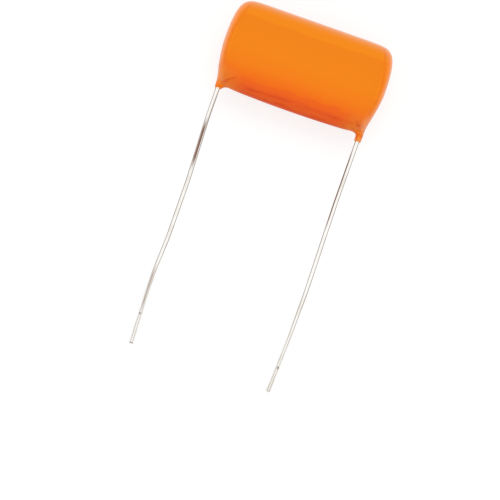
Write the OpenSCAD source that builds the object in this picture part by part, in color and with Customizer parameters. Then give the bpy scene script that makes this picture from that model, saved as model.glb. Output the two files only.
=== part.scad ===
// Radial film capacitor: an oval roll of film and foil with sprayed metal ends,
// a wire lead welded to each end, and a dipped coat of epoxy over all but the leads.
// It lies on its side as it comes to rest, on two low shoulders of the coat and both lead tips.
// X runs along the roll, the leads run towards -Y, and Z is up.

/* [Winding] */
// Length of the roll, which is the width of its film
winding_length = 26.5; // [20:0.1:34]
// Height of the oval roll, in the direction of the leads
winding_height = 14.2; // [11:0.1:18]
// Thickness of the oval roll, across its flats
winding_thickness = 8.2; // [6:0.1:10.5]
// Height of the flattened slit that the winding mandrel leaves
slit_height = 4.6; // [2:0.1:6]
// Width of that slit
slit_width = 0.3; // [0.1:0.05:0.6]

/* [End contacts] */
// Thickness of the metal sprayed on each end of the roll
contact_thickness = 0.6; // [0.4:0.05:1]
// Depth that each lead is sunk into its end contact by the weld
weld_depth = 0.2; // [0.05:0.05:0.3]

/* [Leads] */
// Diameter of the lead wire
lead_diameter = 0.81; // [0.5:0.01:1.2]
// Length of each lead, from the base of the coat to its cut tip
lead_length = 51.3; // [44:0.1:80]
// Length of each lead that is welded to its end contact
weld_length = 10.6; // [6:0.1:11]
// Chamfer that the cutter leaves round each lead tip
tip_chamfer = 0.08; // [0.02:0.01:0.15]

/* [Coat] */
// Coat over the flats of the roll
coat_sides = 1.4; // [1:0.05:2]
// How far that coat sinks in towards the middle of each flat
coat_sink = 0.1; // [0.05:0.01:0.2]
// Coat over the crown and the base edge of the roll
coat_edges = 1.68; // [1.4:0.01:2.4]
// Coat over the leads at the middle of the two ends
coat_ends = 1.5; // [1.3:0.05:2.2]
// How far the base sits back at the leads from its middle
base_bow = 0.4; // [0:0.05:0.6]

/* [Sleeves] */
// Wall of the coat along the lead
sleeve_wall = 0.26; // [0.15:0.01:0.4]
// Length over which that wall thins out to its open end
sleeve_taper = 0.7; // [0.3:0.1:1]
// Length of the coat on the left lead, past the base
left_sleeve = 0.5; // [0.2:0.1:2]
// Length of the coat on the right lead, past the base
right_sleeve = 1.4; // [0.2:0.1:2]
// Radius of the fillet from each sleeve into the base
sleeve_fillet = 1.3; // [0.8:0.1:1.6]

/* [Hidden] */
$fn = 48;

// Slight bends that handling leaves in each lead: distance below the base, and turn towards +X in degrees
left_bends = [[6, 2], [18.5, -2], [30, -3], [37, 3.4], [41, 1.6]];
right_bends = [[13, 1.05], [31, -1.6], [40, -1.65]];
// A bend is a ball a hair fuller than the wire, with the straight runs ending just inside it
bend_swell = 0.015;
bend_gap = 0.05;

// Share of the coat's half length over which each flat sinks in
sink_share = 0.75;

lead_radius = lead_diameter / 2;
contact_face = winding_length / 2 + contact_thickness;
lead_offset = contact_face - weld_depth + lead_radius;

half_length = lead_offset + lead_radius + coat_ends;
half_height = winding_height / 2 + coat_edges;
half_thickness = winding_thickness / 2 + coat_sides;
sink_reach = sink_share * half_length;
tip_reach = half_height + lead_length;

// Exponents of the coat: its oval section, its ends in plan, and how full the ends are
section_power = 2.3;
end_power = 15;
crown_fullness = 2.4;
base_fullness = 1.3;
half_stations = 20;
section_points = 56;

// Sleeve: spread on its outer side, wall left at its open end, how deep it is rooted in the coat,
// and how far the channel of its lead runs on past the open end
sleeve_spread = 0.3;
sleeve_lip = 0.06;
sleeve_root = 4;
channel_overrun = 1;
sleeve_rings = 16;
sleeve_sides = 32;

colour_epoxy = [0.95, 0.5, 0.1];
colour_winding = [0.85, 0.86, 0.84];
colour_contact = [0.62, 0.63, 0.64];
colour_lead = [0.8, 0.8, 0.78];

// A number raised to a power with its sign kept
function signed_power(base, exponent) = sign(base) * pow(abs(base), exponent);

// Station along the coat for a share from -1 to 1, closer together towards the ends
function station(share) = half_length * sign(share) * (1 - pow(1 - abs(share), 2));

coat_stations = [for (k = [1 - half_stations : half_stations - 1]) station(k / half_stations)];

// Share of the full section that the coat has at x, in the direction of an angle round the roll
function section_share(x, angle) =
    let (fullness = base_fullness + (crown_fullness - base_fullness) * (1 + sin(angle)) / 2)
    pow(1 - pow(abs(x) / half_length, end_power), 1 / fullness);

// Half height of the coat at x: the base sits back towards the leads and the crown is straight
function coat_half_height(x, angle) =
    half_height - (sin(angle) < 0 ? base_bow * pow(x / lead_offset, 2) : 0);

// Half thickness of the coat at x: each flat sinks in between two low shoulders
function coat_half_thickness(x) =
    half_thickness - coat_sink * pow(max(0, 1 - pow(x / sink_reach, 2)), 2);

function coat_ring(x) = [
    for (i = [0 : section_points - 1])
        let (angle = 360 * i / section_points, share = section_share(x, angle)) [
            x,
            coat_half_height(x, angle) * share * signed_power(sin(angle), 2 / section_power),
            coat_half_thickness(x) * share * signed_power(cos(angle), 2 / section_power)
        ]
];

// How far the coat reaches in a direction across its length
function coat_reach(along_y, along_z) =
    max([for (x = coat_stations, point = coat_ring(x)) point.y * along_y + point.z * along_z]);

// Rest: the tilt at which the shoulders of the coat and the lead tips touch the same plane
function rest_tilt(angle = 0, passes = 8) =
    passes == 0 ? angle : rest_tilt(
        asin((coat_reach(-sin(angle), -cos(angle)) - lead_radius * cos(angle)) / (tip_reach - tip_chamfer)),
        passes - 1);
tilt = rest_tilt();
rest_height = coat_reach(-sin(tilt), -cos(tilt));
crown_y = coat_reach(cos(tilt), -sin(tilt));
tip_y = -tip_reach * cos(tilt) - (lead_radius - tip_chamfer) * sin(tilt);

// Spread of a sleeve on the side of the roll: a hollow quarter round that ends in the base
function inner_spread(y) =
    let (height = y + half_height - base_bow + sleeve_fillet)
    height <= 0 ? 0
    : height >= sleeve_fillet ? sleeve_fillet
    : sleeve_fillet - sqrt(pow(sleeve_fillet, 2) - pow(height, 2));

// Radius of a sleeve at a height over its open end, rounded off towards that end
function sleeve_radius(height) =
    let (short = max(0, 1 - height / sleeve_taper))
    lead_radius + sleeve_lip + (sleeve_wall - sleeve_lip) * sqrt(1 - pow(short, 2));

// Ring of a sleeve at y, round a lead on the right, with its outer side kept close to the lead
function sleeve_ring(y, open_end) =
    let (
        rise = (y - open_end) / (sleeve_root - half_height - open_end),
        outer = sleeve_radius(y - open_end) + sleeve_spread * pow(rise, 2),
        inner = sleeve_radius(y - open_end) + inner_spread(y),
        radius = (outer + inner) / 2,
        centre = lead_offset + (outer - inner) / 2
    ) [
        for (i = [0 : sleeve_sides - 1])
            let (angle = 360 * i / sleeve_sides)
            [centre + radius * sin(angle), y, radius * cos(angle)]
    ];

// A closed solid through rings of points, drawn to a point at each end
module loft(rings, first_point, last_point) {
    sides = len(rings[0]);
    last = len(rings) - 1;
    points = concat([for (ring = rings) each ring], [first_point, last_point]);
    first_index = sides * len(rings);
    walls = [
        for (k = [0 : last - 1], i = [0 : sides - 1])
            let (j = (i + 1) % sides, a = k * sides, b = a + sides)
            each [[a + i, b + j, b + i], [a + i, a + j, b + j]]
    ];
    caps = [
        for (i = [0 : sides - 1])
            let (j = (i + 1) % sides, end = last * sides)
            each [[j, i, first_index], [end + i, end + j, first_index + 1]]
    ];
    polyhedron(points, concat(walls, caps));
}

// Turns the capacitor to the way it lies, with the middle of its box over the origin
module at_rest() {
    translate([0, -(crown_y + tip_y) / 2, rest_height])
        rotate([tilt, 0, 0])
            children();
}

// Turns a piece of the right end round to the left end
module on_left() {
    rotate([0, 180, 0])
        children();
}

// Outline of the flattened roll
module roll_outline() {
    between_ends = winding_height - winding_thickness;
    square([winding_thickness, between_ends], center = true);
    for (end = [-1, 1])
        translate([0, end * between_ends / 2])
            circle(d = winding_thickness);
}

// A length of the roll's outline along X
module roll_prism(length) {
    rotate([0, 90, 0])
        linear_extrude(length, center = true)
            roll_outline();
}

// Straight wire along -Y from a height on the roll
module straight_wire(from, to) {
    translate([lead_offset, from, 0])
        rotate([90, 0, 0])
            cylinder(r = lead_radius, h = from - to);
}

// Wire along -Y from where it stands: a straight run to the next bend, then the turned rest, to the tip
module bent_wire(bends, start, k = 0) {
    last = k == len(bends);
    run = (last ? lead_length - tip_chamfer : bends[k][0]) - start;
    head = k == 0 ? 0 : bend_gap;
    tail = last ? 0 : bend_gap;
    translate([0, -head, 0])
        rotate([90, 0, 0])
            cylinder(r = lead_radius, h = run - head - tail);
    translate([0, -run, 0])
        if (last)
            rotate([90, 0, 0])
                cylinder(r1 = lead_radius, r2 = lead_radius - tip_chamfer, h = tip_chamfer);
        else {
            sphere(r = lead_radius + bend_swell);
            rotate(bends[k][1])
                bent_wire(bends, bends[k][0], k + 1);
        }
}

// One lead: the run that is welded to the end contact, then the free wire with its bends
module lead(offset, bends) {
    weld_top = weld_length - winding_height / 2;
    translate([offset, weld_top, 0])
        bent_wire(bends, -half_height - weld_top);
}

module lead_left() {
    color(colour_lead)
        at_rest()
            lead(-lead_offset, left_bends);
}

module lead_right() {
    color(colour_lead)
        at_rest()
            lead(lead_offset, right_bends);
}

// Sprayed metal over one end of the roll, with the groove that the lead is welded into
module end_contact() {
    difference() {
        translate([contact_face - contact_thickness / 2, 0, 0])
            roll_prism(contact_thickness);
        straight_wire(weld_length - winding_height / 2, -half_height);
    }
}

module end_contact_left() {
    color(colour_contact)
        at_rest()
            on_left()
                end_contact();
}

module end_contact_right() {
    color(colour_contact)
        at_rest()
            end_contact();
}

module film_winding() {
    color(colour_winding)
        at_rest()
            difference() {
                roll_prism(winding_length);
                cube([2 * winding_length, slit_height, slit_width], center = true);
            }
}

// Coat of the roll by itself: an oval body with a straight crown and domed ends
module coat_body() {
    loft([for (x = coat_stations) coat_ring(x)], [-half_length, 0, 0], [half_length, 0, 0]);
}

// Coat drawn down one lead by surface tension
module sleeve(length) {
    open_end = -half_height - length;
    root = sleeve_root - half_height;
    heights = [for (k = [0 : sleeve_rings]) open_end + (root - open_end) * pow(1 - k / sleeve_rings, 2)];
    rings = [for (y = heights) sleeve_ring(y, open_end)];
    loft(rings, [lead_offset, root, 0], [lead_offset, open_end, 0]);
}

// Room for one lead in the coat, through the end of its sleeve
module lead_channel(length) {
    straight_wire(weld_length - winding_height / 2, -half_height - length - channel_overrun);
}

module epoxy_coat() {
    color(colour_epoxy)
        at_rest()
            difference() {
                union() {
                    coat_body();
                    sleeve(right_sleeve);
                    on_left()
                        sleeve(left_sleeve);
                }
                roll_prism(2 * contact_face);
                lead_channel(right_sleeve);
                on_left()
                    lead_channel(left_sleeve);
            }
}

epoxy_coat();
film_winding();
end_contact_left();
end_contact_right();
lead_left();
lead_right();
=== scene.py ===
import itertools
import math

import bpy
import numpy as np
from mathutils import Matrix, Vector


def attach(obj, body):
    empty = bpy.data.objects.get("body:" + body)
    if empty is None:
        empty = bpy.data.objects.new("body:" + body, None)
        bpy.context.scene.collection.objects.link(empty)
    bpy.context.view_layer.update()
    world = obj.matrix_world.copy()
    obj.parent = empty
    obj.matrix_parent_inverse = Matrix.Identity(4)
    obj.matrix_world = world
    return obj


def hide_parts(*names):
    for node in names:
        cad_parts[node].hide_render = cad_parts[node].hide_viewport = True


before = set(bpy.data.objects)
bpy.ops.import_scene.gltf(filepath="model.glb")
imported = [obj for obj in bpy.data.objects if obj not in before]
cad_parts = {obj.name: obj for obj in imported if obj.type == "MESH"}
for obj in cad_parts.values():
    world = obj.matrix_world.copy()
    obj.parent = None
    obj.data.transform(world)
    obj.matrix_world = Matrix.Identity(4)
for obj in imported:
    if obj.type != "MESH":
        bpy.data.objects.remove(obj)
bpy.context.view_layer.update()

scene = bpy.context.scene
scene.view_settings.view_transform = "Standard"
mm = 0.001

# every form is drawn flat in mm, leads along -Y, then laid down the way the part rests
rest = {"tilt": 4.9187, "shift": 25.5585, "lift": 5.54806}
restTurn = Matrix.Rotation(math.radians(rest["tilt"]), 4, "X")
restMatrix = Matrix.Translation((0, rest["shift"], rest["lift"])) @ restTurn


def layDown(points):
    m = np.array(restMatrix)
    return (np.asarray(points) @ m[:3, :3].T + m[:3, 3]) * mm


def newPiece(name, points, faces, node):
    mesh = bpy.data.meshes.new(name)
    mesh.from_pydata([tuple(p) for p in points], [], [tuple(int(i) for i in face) for face in faces])
    mesh.validate()
    mesh.shade_smooth()
    piece = bpy.data.objects.new(name, mesh)
    scene.collection.objects.link(piece)
    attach(piece, "root")
    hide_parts(node)
    return piece


def linear(rgb):  # screen colour 0-255 to the shader's own scale, by the sRGB curve
    return tuple(((v / 255 + 0.055) / 1.055) ** 2.4 if v > 10 else v / 255 / 12.92 for v in rgb)


class Sock:  # one socket of a finish, with arithmetic
    def __init__(self, finish, socket):
        self.finish, self.socket = finish, socket

    def math(self, operation, *values):
        return self.finish.node("Math", {"operation": operation}, dict(enumerate(values)))

    def __add__(self, other):
        return self.math("ADD", self, other)

    def __sub__(self, other):
        return self.math("SUBTRACT", self, other)

    def __rsub__(self, other):
        return self.math("SUBTRACT", other, self)

    def __mul__(self, other):
        return self.math("MULTIPLY", self, other)

    def __truediv__(self, other):
        return self.math("DIVIDE", self, other)

    def __rtruediv__(self, other):
        return self.math("DIVIDE", other, self)

    def __pow__(self, other):
        return self.math("POWER", self, other)

    def __rpow__(self, other):
        return self.math("POWER", other, self)

    def __abs__(self):
        return self.math("ABSOLUTE", self)

    __radd__ = __add__
    __rmul__ = __mul__


class Finish:  # a node tree that is filled a node at a time
    def __init__(self, name, tree=None):
        if tree is None:
            self.material = bpy.data.materials.new(name)
            self.material.use_nodes = True
            tree = self.material.node_tree
        self.tree = tree
        self.tree.nodes.clear()

    def node(self, kind, settings=None, inputs=None, out=0):
        made = self.tree.nodes.new("ShaderNode" + kind)
        for key, value in (settings or {}).items():
            if key == "stops":
                elements = made.color_ramp.elements
                while len(elements) < len(value):
                    elements.new(0.5)  # put in its place just below
                for element, (position, colour) in zip(elements, value):
                    element.position, element.color = position, (*colour, 1)
            else:
                setattr(made, key, value)
        for key, value in (inputs or {}).items():
            socket = made.inputs[key]
            if isinstance(value, Sock):
                self.tree.links.new(value.socket, socket)
            elif socket.type == "RGBA":
                socket.default_value = (*value, 1)
            else:
                socket.default_value = value
        return Sock(self, made.outputs[out]) if made.outputs else made

    def mix(self, factor, a, b):  # 6 and 7 are the Mix node's two colours, 2 is the colour it gives
        return self.node("Mix", {"data_type": "RGBA"}, {0: factor, 6: a, 7: b}, 2)

    def paint(self, mask, under, coat):  # a screen colour over what is there, to a depth
        depth, rgb = coat
        return self.mix(mask * depth, under, linear(rgb))

    def flat(self):  # where the surface is, in mm, in the frame the forms are drawn in
        place = {
            "Vector": self.node("TexCoord", out="Object"),
            "Location": (0, rest["shift"] * mm, rest["lift"] * mm),
            "Rotation": (math.radians(rest["tilt"]), 0, 0),
            "Scale": (mm, mm, mm),
        }
        return self.node("Mapping", {"vector_type": "TEXTURE"}, place)

    def parts(self, vector):
        made = self.node("SeparateXYZ", None, {0: vector})
        return [Sock(self, output) for output in made.socket.node.outputs]

    def stretch(self, where, x, y, z):
        return self.node("VectorMath", {"operation": "MULTIPLY"}, {0: where, 1: (x, y, z)})

    def noise(self, where, scale, detail, rough=0.5):
        return self.node("TexNoise", {"noise_dimensions": "3D"},
                         {"Vector": where, "Scale": scale, "Detail": detail, "Roughness": rough})

    def sway(self, where, scale, detail):  # noise about 0
        return self.noise(where, scale, detail) - 0.5

    def between(self, value, low, high):  # 0 at low, 1 at high, eased
        return self.node("MapRange", {"interpolation_type": "SMOOTHSTEP"},
                         {"Value": value, "From Min": low, "From Max": high, "To Min": 0, "To Max": 1})

    def ramp(self, value, stops):  # colours at given values
        low, high = stops[0][0], stops[-1][0]
        share = self.node("MapRange", None, {"Value": value, "From Min": low, "From Max": high})
        placed = [((at - low) / (high - low), colour) for at, colour in stops]
        return self.node("ValToRGB", {"stops": placed}, {0: share})

    def bump(self, height, strength, distance, under=None):
        inputs = {"Height": height, "Strength": strength, "Distance": distance}
        if under:
            inputs["Normal"] = under
        return self.node("Bump", None, inputs)

    def seen(self):  # 1 for a ray that shows the surroundings: straight, mirrored or through glass
        camera, glossy, through = (self.node("LightPath", out="Is " + kind + " Ray")
                                   for kind in ("Camera", "Glossy", "Transmission"))
        return camera + glossy + through

    def surface(self, inputs):
        shader = self.node("BsdfPrincipled", None, inputs)
        self.node("OutputMaterial", None, {"Surface": shader})
        return self.material


# straight down on the part, with the body's long side falling to the right; the clip range is in metres
view = {"turn": 19.4, "lens": 300, "sensor": 36, "clip": (0.01, 20),
        "width": 94.0, "centre": (1.79, -10.21), "height": 5.57}


def addCamera():
    data = bpy.data.cameras.new("camera")
    data.lens, data.sensor_width = view["lens"], view["sensor"]
    data.clip_start, data.clip_end = view["clip"]
    camera = bpy.data.objects.new("camera", data)
    scene.collection.objects.link(camera)
    distance = view["width"] * mm * view["lens"] / view["sensor"]
    camera.location = (view["centre"][0] * mm, view["centre"][1] * mm, view["height"] * mm + distance)
    camera.rotation_euler = (0, 0, math.radians(view["turn"]))
    scene.camera = camera
    print("camera at", tuple(round(v, 4) for v in camera.location))


addCamera()

# the dipped coat: a flattened oval with domed ends, drawn down each lead
coatForm = {
    "halfLength": 15.95, "halfHeight": 8.77, "halfThickness": 5.49,
    "sectionPower": 2.3, "endPower": 15, "crownFullness": 2.6, "baseFullness": 1.3, "baseBow": 0.4,
    "uneven": 0.1, "unevenReach": 5,  # the base is so much fuller at its left end, and leaner at its right
    "sink": 0.1, "sinkReach": 11.97,  # how much lower the flats lie in the middle, and how far out
    "leadOffset": 14.055, "leadRadius": 0.405,
    "sleeveWall": 0.26, "sleeveLip": 0.06, "sleeveTaper": 0.7, "sleeveRoot": -4.78,
    # how far each sleeve widens into the body: outwards, inwards, and above and below the wire
    "outerSpread": {-1: 0.3, 1: 0.05}, "innerSpread": {-1: 1.05, 1: 0.7},
    "depthSpread": 2.7, "depthPower": 1.15,
    "openEnds": {-1: -9.15, 1: -10.05},  # where the coat ends on the left and right lead
    "ragged": 0.3,  # how much higher it ends above and below the wire than beside it
    "meniscus": 0.7,  # how softly body and sleeve run together
    "nearest": -3, "farthest": 6,  # distances from the skin are only told apart within these
    "grid": 0.2, "margin": 0.6,
}


def bodyLevel(x, y, z):  # below 0 inside the dipped body, above 0 outside
    c = coatForm
    height = c["halfHeight"] - np.where(y < 0, c["baseBow"] * (x / c["leadOffset"]) ** 2, 0)
    thickness = c["halfThickness"] - c["sink"] * np.clip(1 - (x / c["sinkReach"]) ** 2, 0, 1) ** 2
    across, through = np.abs(y) / height, np.abs(z) / thickness
    n = c["sectionPower"]
    section = (across ** n + through ** n + 1e-12) ** (1 / n)
    turn = np.sign(y) * np.clip(across / section, 0, 1) ** (n / 2)
    base = c["baseFullness"] - c["uneven"] * np.tanh(x / c["unevenReach"])
    fullness = base + (c["crownFullness"] - base) * (1 + turn) / 2
    return section ** fullness + (np.abs(x) / c["halfLength"]) ** c["endPower"] - 1


def bodyDistance(x, y, z, e=0.02):
    slope = []
    for i, j, k in ((e, 0, 0), (0, e, 0), (0, 0, e)):
        slope.append((bodyLevel(x + i, y + j, z + k) - bodyLevel(x - i, y - j, z - k)) / (2 * e))
    steepness = np.sqrt(sum(s * s for s in slope) + 1e-6)
    return np.clip(bodyLevel(x, y, z) / steepness, coatForm["nearest"], coatForm["farthest"])


def sleeveDistance(x, y, z, side):
    c = coatForm
    openEnd = c["openEnds"][side] + c["ragged"] * np.clip(z / c["leadRadius"], -1, 1) ** 2
    rise = y - openEnd
    share = np.clip((y - c["openEnds"][side]) / (c["sleeveRoot"] - c["openEnds"][side]), 0, 1)
    short = np.clip(1 - rise / c["sleeveTaper"], 0, 1)
    wall = c["leadRadius"] + c["sleeveLip"] + (c["sleeveWall"] - c["sleeveLip"]) * np.sqrt(1 - short ** 2)
    hollow = np.clip((y + c["halfHeight"] - c["baseBow"]) / c["innerSpread"][side] + 1, 0, 1)
    outer = wall + c["outerSpread"][side] * share ** 2
    inner = wall + c["innerSpread"][side] * (1 - np.sqrt(1 - hollow ** 2))
    deep = wall + c["depthSpread"] * share ** c["depthPower"]
    wide = (outer + inner) / 2
    centre = side * (c["leadOffset"] + (outer - inner) / 2)
    out = (np.hypot((x - centre) / wide, z / deep) - 1) * np.minimum(wide, deep)
    return np.maximum(np.maximum(out, openEnd - y), y - c["sleeveRoot"])


def softUnion(a, b, width):
    h = np.clip(width - np.abs(a - b), 0, None) / width
    return np.minimum(a, b) - h * h * width / 4


def coatField(p):
    x, y, z = p[..., 0], p[..., 1], p[..., 2]
    level = bodyDistance(x, y, z)
    for side in (-1, 1):
        level = softUnion(level, sleeveDistance(x, y, z, side), coatForm["meniscus"])
    return level


def slopeOf(field, p, e=0.01):
    return np.stack([(field(p + step) - field(p - step)) / (2 * e) for step in e * np.eye(3)], -1)


# quads over the zero level of a field, one point in each crossed cell
def skinOf(field, low, high, step, rounds=8, evening=0.6):
    axes = [np.arange(a, b + step, step) for a, b in zip(low, high)]
    inside = field(np.stack(np.meshgrid(*axes, indexing="ij"), -1)) < 0
    size = np.array(inside.shape)
    corners = list(itertools.product((0, 1), repeat=3))
    count = sum(inside[i:size[0] - 1 + i, j:size[1] - 1 + j, k:size[2] - 1 + k].astype(np.int8)
                for i, j, k in corners)
    cells = np.argwhere((count > 0) & (count < len(corners)))
    index = np.full(count.shape, -1)
    index[tuple(cells.T)] = np.arange(len(cells))
    points = np.array(low) + (cells + 0.5) * step
    faces = []
    for axis in range(3):
        a, b = (axis + 1) % 3, (axis + 2) % 3
        near, far = [slice(None)] * 3, [slice(None)] * 3
        near[axis], far[axis] = slice(0, -1), slice(1, None)
        before, after = inside[tuple(near)], inside[tuple(far)]
        for leaving in (True, False):
            edge = np.argwhere(before & ~after if leaving else ~before & after)
            ring = []
            for da, db in ((-1, -1), (0, -1), (0, 0), (-1, 0)):
                cell = edge.copy()
                cell[:, a] += da
                cell[:, b] += db
                ring.append(index[tuple(cell.T)])
            faces.append(np.stack(ring if leaving else ring[::-1], 1))
    faces = np.concatenate(faces)
    for turn in range(rounds):  # settle on the level, even out, settle again
        if turn >= 2 and turn % 2 == 0:
            total, links = np.zeros_like(points), np.zeros(len(points))
            for i in range(4):
                np.add.at(total, faces[:, i], points[faces[:, (i + 1) % 4]] + points[faces[:, i - 1]])
                np.add.at(links, faces[:, i], 2)
            points = points + evening * (total / links[:, None] - points)
        slope = slopeOf(field, points)
        points = points - field(points)[:, None] * slope / (np.sum(slope ** 2, -1, keepdims=True) + 1e-9)
    return points, faces


def addCoat():
    c = coatForm
    edge = c["margin"]
    low = (-c["halfLength"] - edge, min(c["openEnds"].values()) - edge, -c["halfThickness"] - edge)
    high = (c["halfLength"] + edge, c["halfHeight"] + edge, c["halfThickness"] + edge)
    points, faces = skinOf(coatField, low, high, c["grid"])
    coat = newPiece("coat", layDown(points), faces, "epoxy_coat")
    print("coat", len(points), "points", len(faces), "faces")
    return coat


coat = addCoat()

# the two leads, with the slight bends of handling eased over a short length
leadForm = {
    "weldTop": 3.5, "base": -8.78, "length": 51.29, "chamfer": 0.08,
    # each bend is so many mm below the base, and turns so many degrees
    "left": {"side": -1, "bends": ((6, 2), (18.5, -2), (30, -3), (37, 3.4), (41, 1.6))},
    "right": {"side": 1, "bends": ((13, 1.05), (31, -1.6), (40, -1.65))},
    "easing": 1.6, "step": 0.3, "sides": 28, "sharp": 35,
}


def leadPath(side):
    f, s = leadForm, leadForm[side]
    total = f["weldTop"] - f["base"] + f["length"]
    along = np.linspace(0, total, int(total / f["step"]) + 1)
    below = along + f["base"] - f["weldTop"]
    eased = (turn * np.clip((below - at) / f["easing"] + 0.5, 0, 1) for at, turn in s["bends"])
    heading = np.radians(sum(eased))
    baseShadeSteps = np.diff(along)
    mid = (heading[1:] + heading[:-1]) / 2
    x = s["side"] * coatForm["leadOffset"] + np.concatenate([[0], np.cumsum(np.sin(mid) * baseShadeSteps)])
    y = f["weldTop"] - np.concatenate([[0], np.cumsum(np.cos(mid) * baseShadeSteps)])
    return x, y, heading


def addLead(side):
    f = leadForm
    x, y, heading = leadPath(side)
    radius = np.full(len(x) + 1, coatForm["leadRadius"])
    radius[-1] -= f["chamfer"]
    x, y, heading = (np.append(v, v[-1]) for v in (x, y, heading))
    x[-2] -= f["chamfer"] * np.sin(heading[-2])
    y[-2] += f["chamfer"] * np.cos(heading[-2])
    turn = np.linspace(0, 2 * math.pi, f["sides"], endpoint=False)
    across = np.cos(turn)[None, :] * radius[:, None]
    up = np.sin(turn)[None, :] * radius[:, None]
    ringX = x[:, None] + across * np.cos(heading)[:, None]
    ringY = y[:, None] + across * np.sin(heading)[:, None]
    rings = np.stack([ringX, ringY, up], -1)
    n, faces = f["sides"], []
    for k, i in itertools.product(range(len(x) - 1), range(n)):
        j = (i + 1) % n
        faces.append((k * n + i, k * n + j, (k + 1) * n + j, (k + 1) * n + i))
    faces.append(tuple(range(n - 1, -1, -1)))
    faces.append(tuple((len(x) - 1) * n + i for i in range(n)))
    points = layDown(rings.reshape(-1, 3))
    lead = newPiece("lead" + side.capitalize(), points, faces, "lead_" + side)
    lead.data.set_sharp_from_angle(angle=math.radians(f["sharp"]))
    print("lead", side, len(points), "points")
    return lead


leads = [addLead("left"), addLead("right")]

# orange epoxy: even on the face, with painted light making it a shade paler at the crown and painted shade
# making it deep red under the base
# most pairs are where something begins and where it is full, in mm or as a share of a noise or normal
# a pair named sides is a mean value, and how much more it is on the right and less on the left
epoxyLook = {
    # colours at heights on the face, redder low down with painted shade, then the crown's painted light and
    # the base's painted shade, which take over between two heights
    "shadedRows": ((-4.7, (246, 113, 24)), (-3.4, (245, 123, 20)), (-2.4, (244, 127, 18)),
             (0.5, (241, 132, 17)), (5.4, (237, 128, 17))),
    "crown": (6.0, 6.3, (240, 135, 18)),
    "baseShadeSteps": ((-4.9, -5.3, (243, 103, 30)), (-5.9, -6.5, (239, 95, 33)), (-7.7, -8.1, (232, 86, 21))),
    "sag": 0.025,  # how much higher the steps and folds of the base lie for each mm to the right
    "ripple": 1.6,  # how far the steps run in streaks
    "cloudShift": 1.6, "fineShift": 0.5,  # how far the two noises move the bands
    # scale and detail of each noise, and how two of them are drawn out along the body
    "noises": {"cloud": (0.15, 3), "fine": (0.9, 4), "ripple": (1, 4), "streaks": (1, 3),
               "mottle": (1.8, 3), "speck": (1.7, 2), "slump": (0.22, 2), "grain": (1.1, 3)},
    "drawnOut": {"ripple": (0.36, 3.2, 3.2), "streaks": (0.3, 1.2, 1.2)},
    # depth and colour
    "paints": {"tip": (1, (255, 138, 20)), "corner": (0.8, (243, 128, 41)), "root": (0.85, (255, 143, 50)),
               "neck": (1, (251, 126, 28)), "dripHighlight": (1, (255, 152, 68)), "lipShade": (0.6, (176, 66, 24)),
               "mottle": (1, (188, 58, 16)), "foldShade": (0.48, (212, 60, 28)), "sheen": (0.5, (246, 108, 42)),
               "crease": (0.4, (214, 40, 6)), "speck": (0.35, (222, 112, 18)),
               "browShade": (0.35, (232, 96, 14))},
    "tips": (13.8, 15.2), "under": (-3.2, -6.2), "roots": (13.3, 14.3), "speck": (0.70, 0.78),
    "corner": {"reach": (9.6, 13.0), "cloudShift": 1.5, "fineShift": 2.4,
               "low": (-6.4, -8.2), "lowShift": 0.8},
    "sleeve": {"reach": (13.0, 13.6), "neck": (-7.9, -8.5), "dripHighlight": (-8.7, -9.3),
               "lipShade": (0.5, 0.1), "lipTurn": (0.4, 0.9)},
    "mottle": {"share": (0.46, 0.62), "low": (-5.0, -6.6), "sides": (0.2, 0.14)},
    "crease": {"footSides": (13.7, -0.2), "height": -7.3, "slant": (0.77, 0.64), "wander": 1.1,
               "offsetSides": (0.06, -0.36), "width": (0.3, 0.05), "start": (-0.4, 0.2), "stop": (2.9, 1.4),
               "shorter": 0.6},
    # height, how far the clouds move it, width, share of the streaks that shows it, strength
    "folds": ((-6.88, 0, (0.4, 0.08), (0.34, 0.6), 1), (-8.13, 1, (0.4, 0.06), (0.6, 0.44), 0.7)),
    "foldReach": (11.5, 7.5),
    "sheen": {"share": (0.06, 0.16), "top": (-6.5, -6.9), "bottom": (-8.3, -7.9), "reach": (11.5, 9)},
    "browShade": {"middle": 0.3, "out": 14.92, "bow": 0.028, "wander": 0.6, "width": (0.3, 0.08),
             "low": (-5.0, -3.6), "share": (0.3, 0.55)},
    "shine": {"fade": (-2.0, -5.6), "kept": 0.8, "flank": (0.2, 0.65), "flankSides": (0.65, 0.35),
              "flat": (0.5, 0.84), "flatSides": (0.24, 0.06), "flatRise": 0.008, "flatBow": 0.004,
              "flatLoss": 0.9, "tipSides": (0.5, 0.08), "tipRise": 0.02},
    # strength, and depth in metres
    "bumps": {"slump": (0.12, 0.0003), "grain": (0.1, 0.00002), "crease": (0.2, 0.00006)},
    "roughness": 0.42, "roughnessShift": 0.16, "specular": 0.05, "coatRoughness": 0.14,
}


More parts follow.
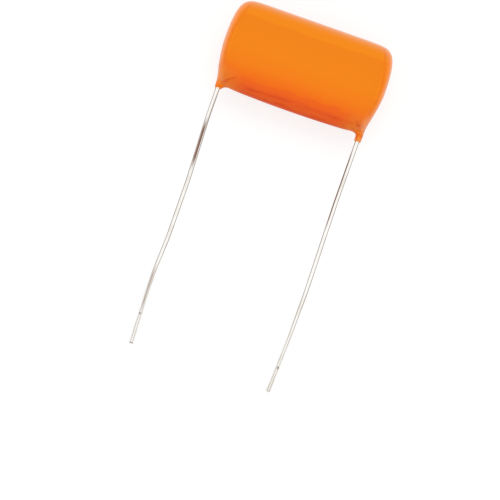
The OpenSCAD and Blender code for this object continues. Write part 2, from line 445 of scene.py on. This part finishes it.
def epoxyFinish():
    f, look = Finish("dippedEpoxy"), epoxyLook
    noises, drawnOut, paints = look["noises"], look["drawnOut"], look["paints"]
    p = f.flat()
    x, y, _ = f.parts(p)
    nx, _, nz = f.parts(f.node("TexCoord", out="Normal"))
    outward, side = abs(x), x.math("SIGN", x)

    def sided(middle, change):
        return middle + side * change

    cloud, fine = f.sway(p, *noises["cloud"]), f.sway(p, *noises["fine"])
    ripple = f.sway(f.stretch(p, *drawnOut["ripple"]), *noises["ripple"])
    streaks = f.noise(f.stretch(p, *drawnOut["streaks"]), *noises["streaks"])
    wave = y + cloud * look["cloudShift"] + fine * look["fineShift"]
    # painted shade: the face's rows run redder towards the base
    colour = f.ramp(wave, [(at, linear(rgb)) for at, rgb in look["shadedRows"]])
    # painted light: a paler band along the crown
    start, stop, rgb = look["crown"]
    colour = f.mix(f.between(wave, start, stop), colour, linear(rgb))
    hang = wave - x * look["sag"]
    level = hang + ripple * look["ripple"]
    # painted shade: the base in steps, each one redder
    for start, stop, rgb in look["baseShadeSteps"]:
        colour = f.mix(f.between(level, start, stop), colour, linear(rgb))

    # the two ends, painted paler towards the sleeves: painted light on the tips and on the roots of the
    # sleeves, and a painted sheen in the corners
    c = look["corner"]
    shift = cloud * c["cloudShift"] + fine * c["fineShift"] + f.between(y, *c["low"]) * c["lowShift"]
    corner = f.between(outward + shift, *c["reach"])
    tips = f.between(outward, *look["tips"])
    under = f.between(y, *look["under"])
    # painted light: the tips lighter where they turn away from the lamp
    colour = f.paint(tips * (1 - under), colour, paints["tip"])
    # painted sheen in the corners
    colour = f.paint(corner * under, colour, paints["corner"])
    # painted light and sheen at the roots of the sleeves
    colour = f.paint(f.between(outward, *look["roots"]) * under, colour, paints["root"])

    # the sleeves, with a painted highlight low on each and painted shade round each open end
    c, left, right = look["sleeve"], coatForm["openEnds"][-1], coatForm["openEnds"][1]
    sleeve = f.between(outward, *c["reach"])
    colour = f.paint(sleeve * f.between(y, *c["neck"]), colour, paints["neck"])
    # painted highlight on the lower part of each sleeve
    colour = f.paint(sleeve * f.between(y, *c["dripHighlight"]), colour, paints["dripHighlight"])
    rise = y - sided((left + right) / 2, (right - left) / 2)
    lipShade = f.between(rise, *c["lipShade"]) * f.between(abs(nx), *c["lipTurn"])
    # painted shade round the lip of each open end
    colour = f.paint(lipShade, colour, paints["lipShade"])

    # mottled skin in the corners, most in the right one
    c = look["mottle"]
    mottle = f.between(f.noise(p, *noises["mottle"]), *c["share"]) * corner * f.between(y, *c["low"])
    colour = f.paint(mottle * sided(*c["sides"]), colour, paints["mottle"])

    # a crease runs up from each sleeve, shorter on the right: a shallow groove with painted shade along it
    c = look["crease"]
    foot, (run, climb) = sided(*c["footSides"]), c["slant"]
    along = (foot - outward) * run + (y - c["height"]) * climb
    across = (outward - foot) * climb + (y - c["height"]) * run + fine * c["wander"]
    across = across + sided(*c["offsetSides"])
    crease = f.between(abs(across), *c["width"]) * f.between(along, *c["start"])
    crease = crease * f.between(along + side * c["shorter"], *c["stop"])

    # two folds of painted shade lie along the base, the lower one where the upper one breaks off
    foldShade = 0
    for height, clouds, width, share, strength in look["folds"]:
        line = f.between(abs(hang - height + cloud * clouds), *width)
        foldShade = foldShade + line * f.between(streaks, *share) * strength
    colour = f.paint(foldShade * f.between(outward, *look["foldReach"]), colour, paints["foldShade"])
    # a painted sheen in streaks low on the base
    c = look["sheen"]
    sheen = f.between(ripple, *c["share"]) * f.between(y, *c["top"]) * f.between(y, *c["bottom"])
    colour = f.paint(sheen * f.between(outward, *c["reach"]), colour, paints["sheen"])
    # painted shade along the crease
    colour = f.paint(crease, colour, paints["crease"])
    speck = f.between(f.noise(p, *noises["speck"]), *look["speck"])
    colour = f.paint(speck, colour, paints["speck"])

    # the shine on each end stops at a bowed edge, with a painted dark line of shade along it
    c = look["browShade"]
    barrel = (y - c["middle"]) ** 2
    line = abs(outward - c["out"] + barrel * c["bow"] + fine * c["wander"])
    browShade = f.between(line, *c["width"]) * f.between(y, *c["low"]) * f.between(streaks, *c["share"])
    colour = f.paint(browShade, colour, paints["browShade"])
    c = look["shine"]
    lean = sided(*c["flatSides"]) - y * c["flatRise"] - barrel * c["flatBow"]
    flats = f.between(abs(nz) + tips * lean, *c["flat"])
    flank = f.between(nx * side, *c["flank"]) * sided(*c["flankSides"])
    outer = tips.math("MAXIMUM", tips, flank)
    gloss = (1 - f.between(y, *c["fade"]) * (1 - outer * c["kept"])) * (1 - flats * c["flatLoss"])
    gloss = gloss * (1 - tips * (sided(*c["tipSides"]) - y * c["tipRise"]))

    bumps = look["bumps"]
    normal = f.bump(f.noise(p, *noises["slump"]), *bumps["slump"])
    normal = f.bump(f.noise(p, *noises["grain"]), *bumps["grain"], normal)
    normal = f.bump(crease * -1, *bumps["crease"], normal)
    return f.surface({
        "Base Color": colour, "Normal": normal, "Specular IOR Level": look["specular"],
        "Roughness": look["roughness"] + fine * look["roughnessShift"],
        "Coat Weight": gloss, "Coat Roughness": look["coatRoughness"],
    })


# tinned wire: near white on top, with a painted dark reflection in brown-grey on its flanks, dark brown
# streaks, and a nick on each lead
wireLook = {
    "tin": (254, 252, 247), "dull": (241, 238, 230), "flank": (118, 90, 74), "cut": (118, 96, 88),
    "streakBrown": (110, 57, 27), "nick": (84, 48, 32),
    # how the two noises are drawn out along the wire, their scale and detail
    "drawnOut": {"drawn": (9, 0.12, 9), "patch": (1, 0.35, 1)},
    "noises": {"drawn": (1, 3), "patch": (0.6, 4)},
    "patches": (0.45, 0.7), "bright": (26, 46), "brightShift": 0.38, "brightLoss": 0.4, "drawnShift": 0.2,
    "flankTurn": (0.58, 0.84), "rimTurn": (0.93, 1.0), "rimLoss": 0.85,
    # side, place across the wire and half width there, mm below the base where it starts and stops, depth
    "streaks": ((-1, -0.12, 0.72, 5.8, 16.6, 0.92), (-1, 0.7, 0.5, 0.5, 10.0, 0.4),
                (1, -0.85, 0.55, 2.5, 19.0, 1.0), (-1, -0.05, 0.28, 35.0, 45.4, 0.8)),
    "fade": 3.5,  # mm over which a streak comes and goes
    "core": 0.4,  # share of a mark's half width that is at full depth
    # where each nick is in the flat frame, and its half width
    "nicks": ((14.17, -55.2, 0.26), (-13.87, -54.1, 0.22)), "nickLength": 1.7, "nickDepth": 0.65,
    "cutTurn": (-0.6, -0.9), "burr": (50.95, 51.2), "burrSides": (0.5, -0.25),
    "metallic": 0.7, "flankMetal": 0.3, "roughness": 0.3, "patchRoughness": 0.16,
    "bumps": {"drawn": (0.25, 0.00003), "nick": (0.5, 0.00005)},
}


def wireFinish():
    f, look = Finish("tinnedWire"), wireLook
    noises, drawnOut, bumps = look["noises"], look["drawnOut"], look["bumps"]
    p = f.flat()
    x, y, _ = f.parts(p)
    nx, ny, _ = f.parts(f.node("TexCoord", out="Normal"))
    drawn = f.noise(f.stretch(p, *drawnOut["drawn"]), *noises["drawn"])
    patch = f.noise(f.stretch(p, *drawnOut["patch"]), *noises["patch"])
    colour = f.mix(f.between(patch, *look["patches"]), linear(look["tin"]), linear(look["dull"]))
    below = leadForm["base"] - y
    bright = f.between(below, *look["bright"])  # the flanks are brighter towards the tips
    # painted reflection: the flanks darker brown-grey, paler again at the very edge and towards the tips
    edge = abs(nx) + (drawn - 0.5) * look["drawnShift"] + bright * look["brightShift"]
    flank = f.between(edge, *look["flankTurn"]) * (1 - f.between(edge, *look["rimTurn"]) * look["rimLoss"])
    flank = flank * (1 - bright * look["brightLoss"])
    colour = f.mix(flank, colour, linear(look["flank"]))
    # dark brown streaks; those on the inner flanks, the second and third rows, are a painted reflection
    for side, place, width, start, stop, depth in look["streaks"]:
        streak = f.between(abs(nx - place), width, width * look["core"]) * f.between(x * side, 0, 1)
        streak = streak * f.between(below + patch, start, start + look["fade"])
        streak = streak * f.between(below - patch, stop, stop - look["fade"])
        colour = f.paint(streak, colour, (depth, look["streakBrown"]))
    nick = 0
    for atX, atY, size in look["nicks"]:
        away = ((x - atX) ** 2 + ((y - atY) / look["nickLength"]) ** 2) ** 0.5
        nick = nick + f.between(away, size, size * look["core"])
    colour = f.paint(nick, colour, (look["nickDepth"], look["nick"]))
    middle, change = look["burrSides"]
    cut = f.between(ny, *look["cutTurn"])
    burr = f.between(below, *look["burr"]) * (middle + x.math("SIGN", x) * change)  # most on the left lead
    colour = f.mix(cut + (1 - cut) * burr, colour, linear(look["cut"]))
    normal = f.bump(nick * -1, *bumps["nick"])
    normal = f.bump(drawn, *bumps["drawn"], normal)
    return f.surface({
        "Base Color": colour, "Metallic": look["metallic"] - flank * look["flankMetal"],
        "Roughness": look["roughness"] + patch * look["patchRoughness"], "Normal": normal,
    })


# inside the coat: the wound film, and the metal sprayed on its ends
filmLook = {"drawnOut": (0.05, 6, 6), "noise": (1, 2), "dark": (214, 216, 212), "pale": (240, 241, 238),
            "roughness": 0.25, "roughnessShift": 0.15}
sprayLook = {"noise": (7, 5, 0.7), "dark": (120, 122, 124), "pale": (182, 184, 186), "metallic": 1.0,
             "roughness": 0.5, "roughnessShift": 0.3, "bump": (0.6, 0.00008)}


def filmFinish():
    f, look = Finish("woundFilm"), filmLook
    turns = f.noise(f.stretch(f.flat(), *look["drawnOut"]), *look["noise"])
    colour = f.mix(turns, linear(look["dark"]), linear(look["pale"]))
    roughness = look["roughness"] + turns * look["roughnessShift"]
    return f.surface({"Base Color": colour, "Roughness": roughness})


def sprayFinish():
    f, look = Finish("sprayedMetal"), sprayLook
    grain = f.noise(f.flat(), *look["noise"])
    colour = f.mix(grain, linear(look["dark"]), linear(look["pale"]))
    return f.surface({
        "Base Color": colour, "Metallic": look["metallic"],
        "Roughness": look["roughness"] + grain * look["roughnessShift"],
        "Normal": f.bump(grain, *look["bump"]),
    })


def dress(piece, material):
    piece.data.materials.clear()
    piece.data.materials.append(material)


def dressNode(node, material):
    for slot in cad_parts[node].material_slots:
        slot.material = material


dress(coat, epoxyFinish())
wire = wireFinish()
for lead in leads:
    dress(lead, wire)
dressNode("film_winding", filmFinish())
spray = sprayFinish()
for node in ("end_contact_left", "end_contact_right"):
    dressNode(node, spray)
print("finishes", len(bpy.data.materials))

# a white table in a white room, with a soft lamp on the crown side
studio = {"white": (1.0, 1.0, 1.0), "tableSize": 1.6, "table": 0.75, "tableSeen": 0.3, "tableLift": 0.74,
          "ambient": 0.88, "roomSeen": 1.0,
          "lampTowards": (0.0, 0.8, 1.3), "lampDistance": 0.7, "lampSize": 0.4, "lampPower": 1.0}


def addTable():
    h = studio["tableSize"] / 2
    mesh = bpy.data.meshes.new("table")
    mesh.from_pydata([(-h, -h, 0), (h, -h, 0), (h, h, 0), (-h, h, 0)], [], [(0, 1, 2, 3)])
    table = bpy.data.objects.new("table", mesh)
    scene.collection.objects.link(table)
    f = Finish("whiteTable")
    paper = f.node("BsdfDiffuse", None, {"Color": (studio["table"],) * 3})
    shown = f.node("BsdfDiffuse", None, {"Color": (studio["tableSeen"],) * 3})
    glow = f.node("Emission", None, {"Color": studio["white"], "Strength": studio["tableLift"]})
    lit = f.node("AddShader", None, {0: shown, 1: glow})
    mixed = f.node("MixShader", None, {0: f.seen(), 1: paper, 2: lit})
    f.node("OutputMaterial", None, {"Surface": mixed})
    dress(table, f.material)


def addLamp():
    data = bpy.data.lights.new("lamp", "AREA")
    data.shape, data.size, data.energy = "DISK", studio["lampSize"], studio["lampPower"]
    lamp = bpy.data.objects.new("lamp", data)
    scene.collection.objects.link(lamp)
    lamp.visible_glossy = False
    aim = Vector((0, rest["shift"] * mm, rest["lift"] * mm))
    lamp.location = aim + Vector(studio["lampTowards"]).normalized() * studio["lampDistance"]
    lamp.rotation_euler = (aim - lamp.location).to_track_quat("-Z", "Y").to_euler()


def addRoom():
    world = bpy.data.worlds.new("room")
    scene.world = world
    world.use_nodes = True
    f = Finish("room", world.node_tree)
    light = f.node("Background", None, {"Color": studio["white"], "Strength": studio["ambient"]})
    shown = f.node("Background", None, {"Color": studio["white"], "Strength": studio["roomSeen"]})
    mixed = f.node("MixShader", None, {0: f.seen(), 1: light, 2: shown})
    f.node("OutputWorld", None, {"Surface": mixed})


addTable()
addLamp()
addRoom()
print("studio ready")
